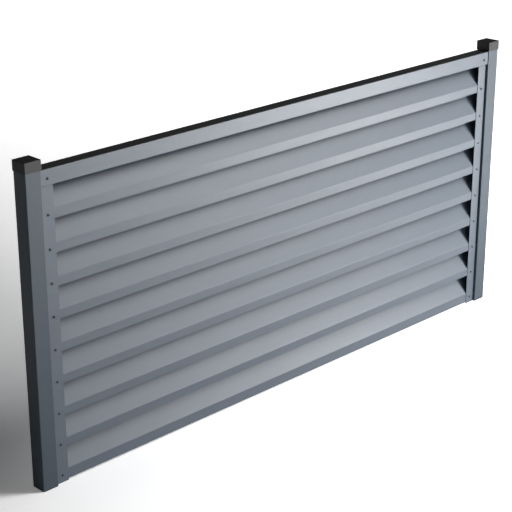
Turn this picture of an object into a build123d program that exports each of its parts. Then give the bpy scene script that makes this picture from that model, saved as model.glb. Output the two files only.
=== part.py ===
from build123d import *
import os

os.makedirs("parts", exist_ok=True)

# Louvered fence panel: one bay of folded sheet slats in side channels between two square tube posts.
# Millimetres. The origin is the middle of the left post's foot, at ground level.
# +X runs along the bay to the right post, -Y is the front, +Z is up.

# Posts
post_spacing = 2400
post_size = 63
post_wall = 2
post_corner_radius = 3
overall_height = 1183

# Post caps, pushed over the tops of the posts
cap_overhang = 2.2
cap_height = 37
cap_top_thickness = 3
cap_fit = 0.2
cap_edge_radius = 1.2

# Folded sheet that the channels, rail and slats are made of
sheet = 1.5

# Top rail, a channel turned over the side channels, with hemmed lower edges
rail_cap_gap = 1.5
rail_depth = 56
rail_height = 55.5
rail_bend_radius = 3
rail_hem_height = 30
rail_hem_round_share = 0.3

# Side channels, with their backs on the posts and their open sides to the slats
channel_width = 51.5
channel_depth = 43
channel_bend_radius = 4

# Slats, folded to a Z
slat_count = 9
slat_flange = 31.5
slat_overlap = 10
slat_rail_lap = 4.9
slat_bend_radius = 5
slat_end_gap = 4
ground_gap = 6.5
lowest_slat_extra = 9

# Heights
post_height = overall_height - cap_top_thickness
rail_top = overall_height - cap_height - rail_cap_gap
rail_bottom = rail_top - rail_height
channel_height = rail_top - sheet
slat_start = ground_gap + lowest_slat_extra
slat_pitch = (rail_bottom + slat_rail_lap - slat_start) / slat_count
slat_rise = slat_pitch + slat_overlap - 2 * slat_flange

# Positions along the bay
bay_start = post_size / 2
bay_end = post_spacing - post_size / 2
bay_length = bay_end - bay_start
slat_inset = sheet + slat_end_gap
slat_length = bay_length - 2 * slat_inset

# Positions from front to back
channel_front = -channel_depth / 2
channel_back = channel_depth / 2
rail_front = -rail_depth / 2
rail_back = rail_depth / 2
slat_front = channel_front + sheet
slat_back = channel_back - 2 * sheet
rail_hem_radius = rail_hem_round_share * (channel_front - rail_front)


# A folded strip: the path is its outer face, and the sheet lies to the right of the path
def folded_section(points, radii):
    path = FilletPolyline(*points, radius=radii)
    outline = offset(path, amount=sheet, side=Side.RIGHT)
    return make_face(outline.edges())


# A strip that runs along the bay, drawn front to back and upwards
def along_bay(section, start, length):
    return extrude(Plane.YZ.offset(start) * section, amount=length)


def make_post(centre):
    outside = RectangleRounded(post_size, post_size, post_corner_radius)
    bore_size = post_size - 2 * post_wall
    bore = RectangleRounded(bore_size, bore_size, post_corner_radius - post_wall)
    return Pos(centre, 0, 0) * extrude(outside - bore, amount=post_height)


def make_cap(centre):
    cap_size = post_size + 2 * cap_overhang
    socket_size = post_size + 2 * cap_fit
    block = extrude(RectangleRounded(cap_size, cap_size, post_corner_radius), amount=cap_height)
    block = fillet(block.faces().sort_by(Axis.Z)[-1].edges(), cap_edge_radius)
    socket_depth = cap_height - cap_top_thickness
    socket = extrude(RectangleRounded(socket_size, socket_size, post_corner_radius), amount=socket_depth)
    return Pos(centre, 0, overall_height - cap_height) * (block - socket)


def make_channel():
    lip = bay_start + channel_width
    points = [
        (lip, channel_front),
        (bay_start, channel_front),
        (bay_start, channel_back),
        (lip, channel_back),
    ]
    section = folded_section(points, channel_bend_radius)
    return extrude(section, amount=channel_height)


def make_rail():
    hem_top = rail_bottom + rail_hem_height
    points = [
        (channel_front, hem_top),
        (channel_front, rail_bottom),
        (rail_front, rail_bottom),
        (rail_front, rail_top),
        (rail_back, rail_top),
        (rail_back, rail_bottom),
        (channel_back, rail_bottom),
        (channel_back, hem_top),
    ]
    hem = [rail_hem_radius, rail_hem_radius]
    section = folded_section(points, hem + [rail_bend_radius, rail_bend_radius] + hem)
    return along_bay(section, bay_start, bay_length)


# The front edge's height and the height of the front flange are given
def make_slat(base, flange):
    fold = base + flange
    crest = fold + slat_rise
    points = [
        (slat_front, base),
        (slat_front, fold),
        (slat_back, crest),
        (slat_back, crest + slat_flange),
    ]
    section = folded_section(points, slat_bend_radius)
    return along_bay(section, bay_start + slat_inset, slat_length)


left_channel = make_channel()
pieces = {
    "left_post": make_post(0),
    "right_post": make_post(post_spacing),
    "left_post_cap": make_cap(0),
    "right_post_cap": make_cap(post_spacing),
    "left_side_channel": left_channel,
    "right_side_channel": mirror(left_channel, about=Plane.YZ.offset(post_spacing / 2)),
    "top_rail": make_rail(),
}

# The slats are numbered from the top, and the lowest has a taller front flange
for number in range(1, slat_count):
    pieces[f"slat_{number}"] = make_slat(slat_start + (slat_count - number) * slat_pitch, slat_flange)
pieces[f"slat_{slat_count}"] = make_slat(ground_gap, slat_flange + lowest_slat_extra)

for name, piece in pieces.items():
    export_step(piece, f"parts/{name}.step")
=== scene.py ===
import math

import bmesh
import bpy
from mathutils import Matrix, Vector


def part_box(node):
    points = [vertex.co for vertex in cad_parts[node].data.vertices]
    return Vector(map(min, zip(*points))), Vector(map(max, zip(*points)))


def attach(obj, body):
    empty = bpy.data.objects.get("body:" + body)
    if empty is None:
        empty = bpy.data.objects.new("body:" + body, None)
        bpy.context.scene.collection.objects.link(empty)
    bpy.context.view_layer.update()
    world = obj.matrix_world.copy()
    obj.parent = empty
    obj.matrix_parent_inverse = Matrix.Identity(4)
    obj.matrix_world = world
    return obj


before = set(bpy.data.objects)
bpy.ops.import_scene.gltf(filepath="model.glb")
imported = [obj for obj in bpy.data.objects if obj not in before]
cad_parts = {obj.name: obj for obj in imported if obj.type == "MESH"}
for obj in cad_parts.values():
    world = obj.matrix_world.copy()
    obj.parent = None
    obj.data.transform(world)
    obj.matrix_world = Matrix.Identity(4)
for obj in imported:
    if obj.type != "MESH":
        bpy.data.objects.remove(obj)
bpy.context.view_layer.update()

scene = bpy.context.scene
scene.view_settings.view_transform = "Standard"


# Shader helpers
def grey(value):
    return (value, value, value, 1)


def shade(colour, share):
    return (colour[0] * share, colour[1] * share, colour[2] * share, 1)


def empty_tree(owner):
    owner.use_nodes = True
    owner.node_tree.nodes.clear()
    return owner.node_tree


def noise(tree, scale, detail, stretch=(1, 1, 1)):
    place = tree.nodes.new("ShaderNodeTexCoord")
    mapping = tree.nodes.new("ShaderNodeMapping")
    mapping.inputs["Scale"].default_value = stretch
    texture = tree.nodes.new("ShaderNodeTexNoise")
    texture.inputs["Scale"].default_value = scale
    texture.inputs["Detail"].default_value = detail
    tree.links.new(place.outputs["Object"], mapping.inputs["Vector"])
    tree.links.new(mapping.outputs["Vector"], texture.inputs["Vector"])
    return texture.outputs["Fac"]


def ramp(tree, factor, low, high, span=(0.3, 0.7)):
    node = tree.nodes.new("ShaderNodeValToRGB")
    node.color_ramp.elements[0].position = span[0]
    node.color_ramp.elements[1].position = span[1]
    node.color_ramp.elements[0].color = low
    node.color_ramp.elements[1].color = high
    tree.links.new(factor, node.inputs["Fac"])
    return node.outputs["Color"]


def height(tree, coordinate):
    place = tree.nodes.new("ShaderNodeTexCoord")
    split = tree.nodes.new("ShaderNodeSeparateXYZ")
    tree.links.new(place.outputs[coordinate], split.inputs["Vector"])
    return split.outputs["Z"]


def bump(tree, relief, distance, strength=1, normal=None):
    node = tree.nodes.new("ShaderNodeBump")
    node.inputs["Strength"].default_value = strength
    node.inputs["Distance"].default_value = distance
    tree.links.new(relief, node.inputs["Height"])
    if normal:
        tree.links.new(normal, node.inputs["Normal"])
    return node.outputs["Normal"]


def mix_shaders(tree, share, first, second):
    node = tree.nodes.new("ShaderNodeMixShader")
    tree.links.new(share, node.inputs["Fac"])
    tree.links.new(first, node.inputs[1])
    tree.links.new(second, node.inputs[2])
    return node.outputs["Shader"]


# Rays straight from the camera or through glass
def straight_rays(tree):
    path = tree.nodes.new("ShaderNodeLightPath")
    either = tree.nodes.new("ShaderNodeMath")
    either.operation = "MAXIMUM"
    tree.links.new(path.outputs["Is Camera Ray"], either.inputs[0])
    tree.links.new(path.outputs["Is Transmission Ray"], either.inputs[1])
    return either.outputs["Value"]


# Rays that see the white studio: the straight ones and a share of the glossy ones
def seen_rays(tree, gloss_share):
    path = tree.nodes.new("ShaderNodeLightPath")
    total = tree.nodes.new("ShaderNodeMath")
    total.operation = "MULTIPLY_ADD"
    total.inputs[1].default_value = gloss_share
    tree.links.new(path.outputs["Is Glossy Ray"], total.inputs[0])
    tree.links.new(straight_rays(tree), total.inputs[2])
    return total.outputs["Value"]


# Coatings: a slow drift of colour, a fine grain and a slight wave of the sheet
sheet_colour = (0.082, 0.109, 0.144)
post_colour = (0.036, 0.059, 0.083)
cap_colour = (0.006, 0.006, 0.006)
# Painted shade: the rail's top face, in the sheet's coat, is painted near-black to stand in for
# the shade it lies in
rail_top_painted_shade = (0.009, 0.010, 0.011)
painted_shade_drop = 0.0008
painted_shade_blur = 0.0012
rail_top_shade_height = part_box("top_rail")[1].z - painted_shade_drop
colour_swing = 0.04
drift_scale = 5
drift_detail = 3
drift_stretch = (1, 1, 2.5)
roughness = 0.46
roughness_swing = 0.04
powder_grain = 0.0013
plastic_grain = 0.0009
grain_detail = 2
grain_height = 0.0001
grain_strength = 0.5
wave_scale = 3
wave_detail = 2
wave_stretch = (1, 1, 4)


# Paints shade on the rail's top face: near-black above the given height, blended in over a short
# blur
def paint_top_shade(tree, base, painted_shade_height):
    level = tree.nodes.new("ShaderNodeMapRange")
    level.inputs["From Min"].default_value = painted_shade_height - painted_shade_blur
    level.inputs["From Max"].default_value = painted_shade_height
    mix = tree.nodes.new("ShaderNodeMixRGB")
    mix.inputs["Color2"].default_value = shade(rail_top_painted_shade, 1)
    tree.links.new(height(tree, "Object"), level.inputs["Value"])
    tree.links.new(level.outputs["Result"], mix.inputs["Fac"])
    tree.links.new(base, mix.inputs["Color1"])
    return mix.outputs["Color"]


def coating(name, colour, sheen, grain_size, wave_height, painted_shade_height=None):
    material = bpy.data.materials.new(name)
    tree = empty_tree(material)
    output = tree.nodes.new("ShaderNodeOutputMaterial")
    shader = tree.nodes.new("ShaderNodeBsdfPrincipled")
    shader.inputs["Specular IOR Level"].default_value = sheen
    drift = noise(tree, drift_scale, drift_detail, drift_stretch)
    base = ramp(tree, drift, shade(colour, 1 - colour_swing), shade(colour, 1 + colour_swing))
    # Painted shade on the top face, for the rail
    if painted_shade_height:
        base = paint_top_shade(tree, base, painted_shade_height)
    grain = noise(tree, 1 / grain_size, grain_detail)
    smooth = grey(roughness - roughness_swing)
    rough = grey(roughness + roughness_swing)
    wave = noise(tree, wave_scale, wave_detail, wave_stretch)
    waved = bump(tree, wave, wave_height)
    grained = bump(tree, grain, grain_height, grain_strength, waved)
    tree.links.new(base, shader.inputs["Base Color"])
    tree.links.new(ramp(tree, grain, smooth, rough), shader.inputs["Roughness"])
    tree.links.new(grained, shader.inputs["Normal"])
    tree.links.new(shader.outputs["BSDF"], output.inputs["Surface"])
    return material


sheet_coating = coating(
    "sheet_coating", sheet_colour, sheen=1.0, grain_size=powder_grain, wave_height=0.0015
)
rail_coating = coating(
    "rail_coating",
    sheet_colour,
    sheen=1.0,
    grain_size=powder_grain,
    wave_height=0.0008,
    painted_shade_height=rail_top_shade_height,
)
post_coating = coating(
    "post_coating", post_colour, sheen=0.8, grain_size=powder_grain, wave_height=0.0003
)
cap_plastic = coating(
    "cap_plastic", cap_colour, sheen=0.6, grain_size=plastic_grain, wave_height=0.0002
)

for name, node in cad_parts.items():
    node.data.materials.clear()
    if name.endswith("cap"):
        node.data.materials.append(cap_plastic)
    elif name.endswith("post"):
        node.data.materials.append(post_coating)
    elif name == "top_rail":
        node.data.materials.append(rail_coating)
    else:
        node.data.materials.append(sheet_coating)


# Blind rivets: turned heads with an open mandrel hole, seated a little into the sheet
rivet_radius = 0.0047
rivet_dome = 0.0036
rivet_steps = 32
rivet_inset = 0.0265
slat_rivet_rise = 0.0122
rail_rivet_rise = 0.0229
weld_distance = 1e-6
seat = -0.08
hole_floor = 0.1

# Distance from the axis and height, as shares of the head's radius and dome
rivet_profile = [
    (0.0, hole_floor),
    (0.36, hole_floor),
    (0.38, 0.93),
    (0.47, 1.0),
    (0.66, 0.91),
    (0.83, 0.67),
    (0.95, 0.34),
    (1.0, 0.0),
    (1.0, seat),
    (0.0, seat),
]


def rivet(name, place, out):
    mesh = bpy.data.meshes.new(name)
    bm = bmesh.new()
    points = [
        bm.verts.new((radius * rivet_radius, 0, rise * rivet_dome))
        for radius, rise in rivet_profile
    ]
    edges = [bm.edges.new(pair) for pair in zip(points, points[1:])]
    bmesh.ops.spin(
        bm,
        geom=points + edges,
        cent=(0, 0, 0),
        axis=(0, 0, 1),
        angle=math.tau,
        steps=rivet_steps,
    )
    bmesh.ops.remove_doubles(bm, verts=bm.verts, dist=weld_distance)
    bmesh.ops.recalc_face_normals(bm, faces=bm.faces)
    turn = Matrix.Rotation(-out * math.pi / 2, 4, "X")
    bmesh.ops.transform(bm, matrix=Matrix.Translation(place) @ turn, verts=bm.verts)
    bm.to_mesh(mesh)
    bm.free()
    for face in mesh.polygons:
        face.use_smooth = True
    mesh.materials.append(post_coating)
    piece = bpy.data.objects.new(name, mesh)
    scene.collection.objects.link(piece)
    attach(piece, "root")


slat_count = sum(name.startswith("slat_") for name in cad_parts)
first_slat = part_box("slat_1")[0].z
slat_pitch = first_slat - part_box("slat_2")[0].z
rail_low, rail_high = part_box("top_rail")
for side in ("left", "right"):
    channel_low, channel_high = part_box(f"{side}_side_channel")
    if side == "left":
        x = channel_low.x + rivet_inset
    else:
        x = channel_high.x - rivet_inset
    for face, out in (("front", -1), ("back", 1)):
        flange = channel_low.y if out < 0 else channel_high.y
        hem = rail_low.y if out < 0 else rail_high.y
        rivet(f"{side}_{face}_rivet_rail", (x, hem, rail_low.z + rail_rivet_rise), out)
        for number in range(slat_count):
            z = first_slat + slat_rivet_rise - number * slat_pitch
            rivet(f"{side}_{face}_rivet_{number + 1}", (x, flange, z), out)


# Floor: pale for the light it throws back, whiter where it is seen, and white further out
# through a painted glow
floor_reach = 80
floor_pale = 0.6
floor_white = 1.35
floor_gloss = 0.6
far_gloss = 0.2
shade_centre = (-1, 2.2, 0)
glow_reach = 10
glow_span = (0.2, 0.48)
glow_near = 0.02
glow_far = 1


def diffuse(tree, value):
    node = tree.nodes.new("ShaderNodeBsdfDiffuse")
    node.inputs["Color"].default_value = grey(value)
    return node.outputs["BSDF"]


# Painted light: a glow seen from the camera, and faintly in gloss, that whitens the floor. It is
# faint within about 2 m of shade_centre, where the panel's shadow lies, and full beyond about
# 4.8 m
def floor_glow(tree):
    place = tree.nodes.new("ShaderNodeTexCoord")
    distance = tree.nodes.new("ShaderNodeVectorMath")
    distance.operation = "DISTANCE"
    distance.inputs[1].default_value = shade_centre
    share = tree.nodes.new("ShaderNodeMath")
    share.operation = "DIVIDE"
    share.inputs[1].default_value = glow_reach
    glow = tree.nodes.new("ShaderNodeEmission")
    tree.links.new(place.outputs["Object"], distance.inputs[0])
    tree.links.new(distance.outputs["Value"], share.inputs[0])
    colour = ramp(tree, share.outputs["Value"], grey(glow_near), grey(glow_far), glow_span)
    tree.links.new(colour, glow.inputs["Color"])
    tree.links.new(seen_rays(tree, far_gloss), glow.inputs["Strength"])
    return glow.outputs["Emission"]


def floor():
    mesh = bpy.data.meshes.new("floor")
    corners = [
        (-floor_reach, -floor_reach, 0),
        (floor_reach, -floor_reach, 0),
        (floor_reach, floor_reach, 0),
        (-floor_reach, floor_reach, 0),
    ]
    mesh.from_pydata(corners, [], [(0, 1, 2, 3)])
    material = bpy.data.materials.new("floor")
    tree = empty_tree(material)
    output = tree.nodes.new("ShaderNodeOutputMaterial")
    surface = mix_shaders(
        tree, seen_rays(tree, floor_gloss), diffuse(tree, floor_pale), diffuse(tree, floor_white)
    )
    both = tree.nodes.new("ShaderNodeAddShader")
    tree.links.new(surface, both.inputs[0])
    tree.links.new(floor_glow(tree), both.inputs[1])
    tree.links.new(both.outputs["Shader"], output.inputs["Surface"])
    mesh.materials.append(material)
    piece = bpy.data.objects.new("floor", mesh)
    scene.collection.objects.link(piece)


floor()


# Light: angles in degrees from straight in front of the panel
middle = Vector((1.2, 0, 0.6))
near = 3.5
far = 7
small_box = (1, 1)
tall_box = (2, 5.4)
wide_box = (1.6, 0.6)
back_place = Vector((1.35, 6, 0.4))
back_target = Vector((1.35, 0, 0.6))
back_spread = math.radians(27)


def aim(holder, target):
    holder.rotation_mode = "QUATERNION"
    holder.rotation_quaternion = (target - holder.location).to_track_quat("-Z", "Y")


def soft_box(name, place, target, size, power, spread=math.pi):
    lamp = bpy.data.lights.new(name, "AREA")
    lamp.shape = "RECTANGLE"
    lamp.size = size[0]
    lamp.size_y = size[1]
    lamp.energy = power
    lamp.spread = spread
    holder = bpy.data.objects.new(name, lamp)
    holder.location = place
    holder.visible_camera = False
    scene.collection.objects.link(holder)
    aim(holder, target)


def direction(azimuth, elevation):
    a = math.radians(azimuth)
    e = math.radians(elevation)
    return Vector((math.sin(a) * math.cos(e), -math.cos(a) * math.cos(e), math.sin(e)))


soft_box("low_box", middle + near * direction(46, -1), middle, small_box, power=65)
soft_box("front_box", middle + near * direction(18, 0), middle, small_box, power=15)
soft_box("high_box", middle + far * direction(47, 44), middle, tall_box, power=378)
soft_box("back_box", back_place, back_target, wide_box, power=10, spread=back_spread)


# World: white where it is seen, dim light elsewhere, darker overhead in the gloss
ambient_level = 0.04
sky_span = (0.03, 0.15)
sky_overhead = 0.05


def background(tree, strength):
    node = tree.nodes.new("ShaderNodeBackground")
    node.inputs["Color"].default_value = grey(1)
    node.inputs["Strength"].default_value = strength
    return node


world = bpy.data.worlds.new("studio")
scene.world = world
tree = empty_tree(world)
world_output = tree.nodes.new("ShaderNodeOutputWorld")
ambient = background(tree, ambient_level)
white = background(tree, 1)
sky = background(tree, 1)
sky_colour = ramp(tree, height(tree, "Generated"), grey(1), grey(sky_overhead), sky_span)
tree.links.new(sky_colour, sky.inputs["Color"])
lit = mix_shaders(
    tree, seen_rays(tree, far_gloss), ambient.outputs["Background"], sky.outputs["Background"]
)
backdrop = mix_shaders(tree, straight_rays(tree), lit, white.outputs["Background"])
tree.links.new(backdrop, world_output.inputs["Surface"])


# Camera: at the photograph's viewing angle
camera_place = Vector((-2.55792, -3.65116, 2.56277))
camera_right = Vector((0.714079, -0.700064, -0.000759))
camera_back = Vector((-0.65233, -0.665811, 0.362161)).normalized()
camera_up = camera_back.cross(camera_right).normalized()
camera_right = camera_up.cross(camera_back).normalized()
camera_turn = Matrix((camera_right, camera_up, camera_back)).transposed()

camera_data = bpy.data.cameras.new("camera")
camera_data.sensor_width = 36
camera_data.lens = 102.0631
camera_data.clip_start = 0.05
camera_data.clip_end = 300
camera = bpy.data.objects.new("camera", camera_data)
camera.matrix_world = Matrix.Translation(camera_place) @ camera_turn.to_4x4()
scene.collection.objects.link(camera)
scene.camera = camera
